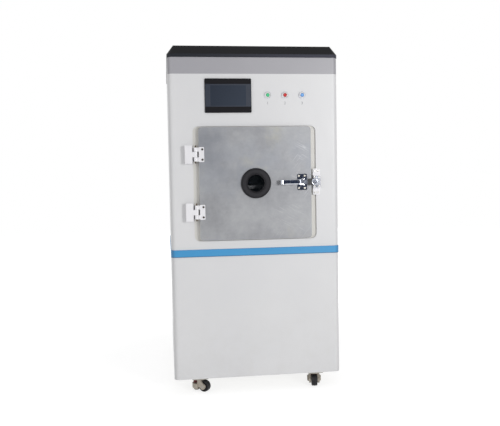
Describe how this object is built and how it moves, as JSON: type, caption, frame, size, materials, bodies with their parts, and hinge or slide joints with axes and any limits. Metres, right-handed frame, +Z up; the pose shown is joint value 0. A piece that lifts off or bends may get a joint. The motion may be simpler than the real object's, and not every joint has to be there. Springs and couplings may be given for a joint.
{
  "type": "vacuum plasma cleaner",
  "caption": "Upright cabinet on levelling casters with a square hinged chamber door, round viewport, toggle latch, touch panel and pushbuttons.",
  "frame": {"origin": "on the floor, under the middle of the machine's overall box", "axes": "+Z up, -Y towards the user in front of the door, +X to the right as seen from the front"},
  "size_m": [0.746, 0.8726, 1.51],
  "materials": {
    "panel_white": "semi-matte powder coat",
    "header_grey": "satin paint",
    "cap_dark": "satin paint",
    "stripe_blue": "satin paint",
    "frame_grey": "matte paint",
    "plated_steel": "zinc plated",
    "stainless": "satin",
    "chamber_aluminium": "machined",
    "flange_cream": "matte coat",
    "door_aluminium": "brushed, cloudy",
    "seal_grey": "soft",
    "insulator": "matte",
    "ring_black": "black anodised",
    "pane": "clear",
    "hinge_white": "gloss paint",
    "chrome": "polished",
    "strap_dark": "blackened",
    "case_black": "matte",
    "screen": "glossy",
    "button_green": "glossy",
    "button_red": "glossy",
    "button_blue": "glossy",
    "caster_beige": "satin cast",
    "wheel_black": "matte",
    "foot_rubber": "matte",
    "thumbwheel_red": "satin",
    "pump_grey": "matte paint"
  },
  "bodies": {
    "cabinet": {"lower_front_panel": "panel_white", "upper_front_panel": "panel_white", "left_side_panel": "panel_white", "right_side_panel": "panel_white", "rear_panel": "panel_white", "header_band": "header_grey", "stripe_band": "stripe_blue", "top_cap": "cap_dark", "frame": "frame_grey", "base_pan": "plated_steel", "chamber_flange": "flange_cream", "door_seal": "seal_grey", "chamber_box": "chamber_aluminium", "electrode_shelves": "chamber_aluminium", "shelf_spacers": "insulator", "hinge_blocks": "hinge_white", "keeper_bracket": "hinge_white", "latch_keeper": "chrome", "bracket_screws": "stainless", "touch_panel_case": "case_black", "touch_panel_screen": "screen", "button_housings": "stainless", "caster_plates": "plated_steel", "rear_ports": "stainless", "cable_gland": "case_black", "vacuum_pump": "pump_grey", "pump_pipe": "stainless", "radio_generator": "frame_grey", "matching_unit": "chamber_aluminium"},
    "door": {"door_plate": "door_aluminium", "viewport_ring": "ring_black", "viewport_glass": "pane", "viewport_gasket": "seal_grey", "hinge_leaves": "hinge_white", "hinge_pins": "stainless", "door_screws": "stainless", "latch_base": "chrome", "latch_pivot_rivets": "stainless"},
    "lever": {"latch_lever": "chrome", "latch_link_pin": "stainless"},
    "strap": {"latch_strap": "strap_dark"},
    "button_green": {"button_cap_green": "button_green"},
    "button_red": {"button_cap_red": "button_red"},
    "button_blue": {"button_cap_blue": "button_blue"},
    "fork_1": {"caster_fork_1": "caster_beige"},
    "wheel_1": {"caster_wheel_1": "wheel_black"},
    "thumbwheel_1": {"caster_thumbwheel_1": "thumbwheel_red"},
    "foot_1": {"caster_foot_1": "foot_rubber"},
    "fork_2": {"caster_fork_2": "caster_beige"},
    "wheel_2": {"caster_wheel_2": "wheel_black"},
    "thumbwheel_2": {"caster_thumbwheel_2": "thumbwheel_red"},
    "foot_2": {"caster_foot_2": "foot_rubber"},
    "fork_3": {"caster_fork_3": "caster_beige"},
    "wheel_3": {"caster_wheel_3": "wheel_black"},
    "thumbwheel_3": {"caster_thumbwheel_3": "thumbwheel_red"},
    "foot_3": {"caster_foot_3": "foot_rubber"},
    "fork_4": {"caster_fork_4": "caster_beige"},
    "wheel_4": {"caster_wheel_4": "wheel_black"},
    "thumbwheel_4": {"caster_thumbwheel_4": "thumbwheel_red"},
    "foot_4": {"caster_foot_4": "foot_rubber"}
  },
  "joints": [
    {"name": "door_swing", "type": "hinge", "parent": "cabinet", "child": "door", "pos_m": [-0.259, -0.4123, 0.915], "axis": [0, 0, 1], "range_deg": [-110, 0]},
    {"name": "lever_swing", "type": "hinge", "parent": "door", "child": "lever", "pos_m": [0.207, -0.4203, 0.917], "axis": [0, 0, 1], "range_deg": [0, 105]},
    {"name": "strap_swing", "type": "hinge", "parent": "lever", "child": "strap", "pos_m": [0.192, -0.4183, 0.917], "axis": [0, 0, 1], "range_deg": [-105, 0]},
    {"name": "press_green", "type": "slide", "parent": "cabinet", "child": "button_green", "axis": [0, 1, 0], "range_m": [0, 0.003], "stiffness_N_per_m": 400},
    {"name": "press_red", "type": "slide", "parent": "cabinet", "child": "button_red", "axis": [0, 1, 0], "range_m": [0, 0.003], "stiffness_N_per_m": 400},
    {"name": "press_blue", "type": "slide", "parent": "cabinet", "child": "button_blue", "axis": [0, 1, 0], "range_m": [0, 0.003], "stiffness_N_per_m": 400},
    {"name": "swivel_1", "type": "hinge", "parent": "cabinet", "child": "fork_1", "pos_m": [-0.258, -0.3517, 0.025], "axis": [0, 0, 1], "continuous": true},
    {"name": "roll_1", "type": "hinge", "parent": "fork_1", "child": "wheel_1", "pos_m": [-0.2385, -0.36389, 0.025], "axis": [0.5299, 0.848, 0], "continuous": true},
    {"name": "screw_1", "type": "hinge", "parent": "fork_1", "child": "thumbwheel_1", "pos_m": [-0.27326, -0.34216, 0], "axis": [0, 0, 1], "range_deg": [0, 2161]},
    {"name": "foot_lift_1", "type": "slide", "parent": "fork_1", "child": "foot_1", "axis": [0, 0, -1], "range_m": [0, 0.012]},
    {"name": "swivel_2", "type": "hinge", "parent": "cabinet", "child": "fork_2", "pos_m": [0.258, -0.3517, 0.025], "axis": [0, 0, 1], "continuous": true},
    {"name": "roll_2", "type": "hinge", "parent": "fork_2", "child": "wheel_2", "pos_m": [0.25401, -0.37435, 0.025], "axis": [0.9848, -0.1736, 0], "continuous": true},
    {"name": "screw_2", "type": "hinge", "parent": "fork_2", "child": "thumbwheel_2", "pos_m": [0.26113, -0.33397, 0], "axis": [0, 0, 1], "range_deg": [0, 2161]},
    {"name": "foot_lift_2", "type": "slide", "parent": "fork_2", "child": "foot_2", "axis": [0, 0, -1], "range_m": [0, 0.012]},
    {"name": "swivel_3", "type": "hinge", "parent": "cabinet", "child": "fork_3", "pos_m": [-0.258, 0.3683, 0.025], "axis": [0, 0, 1], "continuous": true},
    {"name": "roll_3", "type": "hinge", "parent": "fork_3", "child": "wheel_3", "pos_m": [-0.2465, 0.38822, 0.025], "axis": [-0.866, 0.5, 0], "continuous": true},
    {"name": "screw_3", "type": "hinge", "parent": "fork_3", "child": "thumbwheel_3", "pos_m": [-0.267, 0.35271, 0], "axis": [0, 0, 1], "range_deg": [0, 2161]},
    {"name": "foot_lift_3", "type": "slide", "parent": "fork_3", "child": "foot_3", "axis": [0, 0, -1], "range_m": [0, 0.012]},
    {"name": "swivel_4", "type": "hinge", "parent": "cabinet", "child": "fork_4", "pos_m": [0.258, 0.3683, 0.025], "axis": [0, 0, 1], "continuous": true},
    {"name": "roll_4", "type": "hinge", "parent": "fork_4", "child": "wheel_4", "pos_m": [0.235, 0.3683, 0.025], "axis": [0, -1, 0], "continuous": true},
    {"name": "screw_4", "type": "hinge", "parent": "fork_4", "child": "thumbwheel_4", "pos_m": [0.276, 0.3683, 0], "axis": [0, 0, 1], "range_deg": [0, 2161]},
    {"name": "foot_lift_4", "type": "slide", "parent": "fork_4", "child": "foot_4", "axis": [0, 0, -1], "range_m": [0, 0.012]}
  ],
  "couplings": [
    {"joint": "strap_swing", "follows": "lever_swing", "ratio": -1},
    {"joint": "screw_1", "follows": "foot_lift_1", "rad_per_m": 3141.6},
    {"joint": "screw_2", "follows": "foot_lift_2", "rad_per_m": 3141.6},
    {"joint": "screw_3", "follows": "foot_lift_3", "rad_per_m": 3141.6},
    {"joint": "screw_4", "follows": "foot_lift_4", "rad_per_m": 3141.6}
  ]
}
